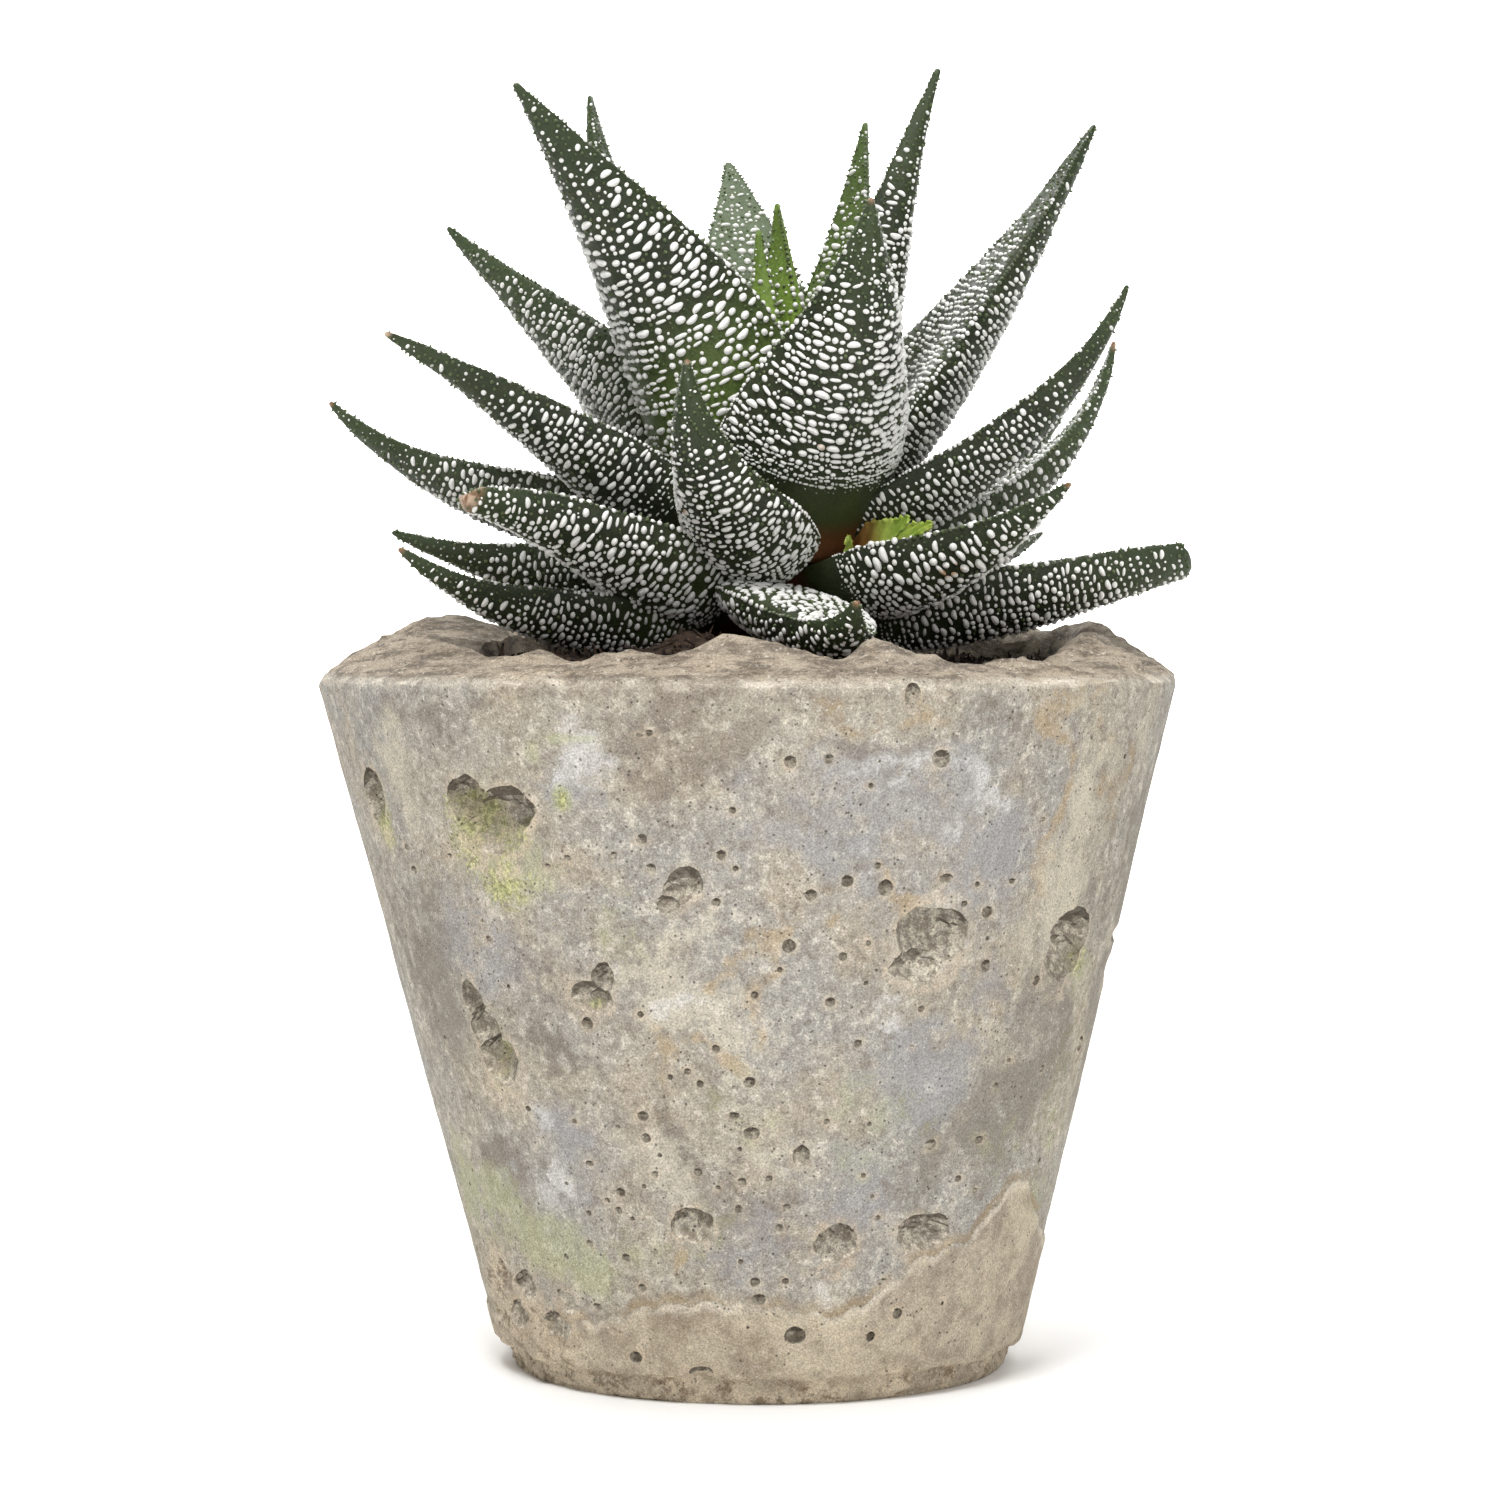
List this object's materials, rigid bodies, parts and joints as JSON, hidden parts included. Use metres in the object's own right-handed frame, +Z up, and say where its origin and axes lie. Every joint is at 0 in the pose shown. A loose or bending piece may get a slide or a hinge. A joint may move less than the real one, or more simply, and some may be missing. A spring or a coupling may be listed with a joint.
{
  "type": "potted haworthia",
  "caption": "Succulent rosette of thick pointed leaves with white tubercles, growing from soil in a tapered cast concrete pot.",
  "frame": {"origin": "middle of the pot's flat underside, which is the face that it stands on", "axes": "+Z up through the pot and the rosette; +Y away from the front of the pot; +X to the right of the front"},
  "size_m": [0.1213, 0.12, 0.1805],
  "materials": {
    "concrete": "rough cast concrete, pitted, with moss in some pits",
    "soil": "dark brown crumbly potting soil",
    "stem": "short green-brown succulent stem",
    "leaf": "dark green succulent leaf, slightly waxy, with white tubercles",
    "shoot": "young yellow-green leaf"
  },
  "bodies": {
    "root": {"pot": "concrete", "soil": "soil", "stem": "stem", "leaf_01": "leaf", "leaf_02": "leaf", "leaf_03": "leaf", "leaf_04": "leaf", "leaf_05": "leaf", "leaf_06": "leaf", "leaf_07": "leaf", "leaf_08": "leaf", "leaf_09": "leaf", "leaf_10": "leaf", "leaf_11": "leaf", "leaf_12": "leaf", "leaf_13": "leaf", "leaf_14": "leaf", "leaf_15": "leaf", "leaf_16": "leaf", "leaf_17": "leaf", "leaf_18": "leaf", "leaf_19": "leaf", "leaf_20": "leaf", "leaf_21": "leaf", "leaf_22": "leaf", "leaf_23": "leaf", "leaf_24": "leaf", "leaf_25": "leaf", "leaf_26": "leaf", "leaf_27": "leaf", "leaf_28": "leaf", "leaf_29": "leaf", "leaf_30": "leaf", "shoot": "shoot"}
  },
  "joints": []
}
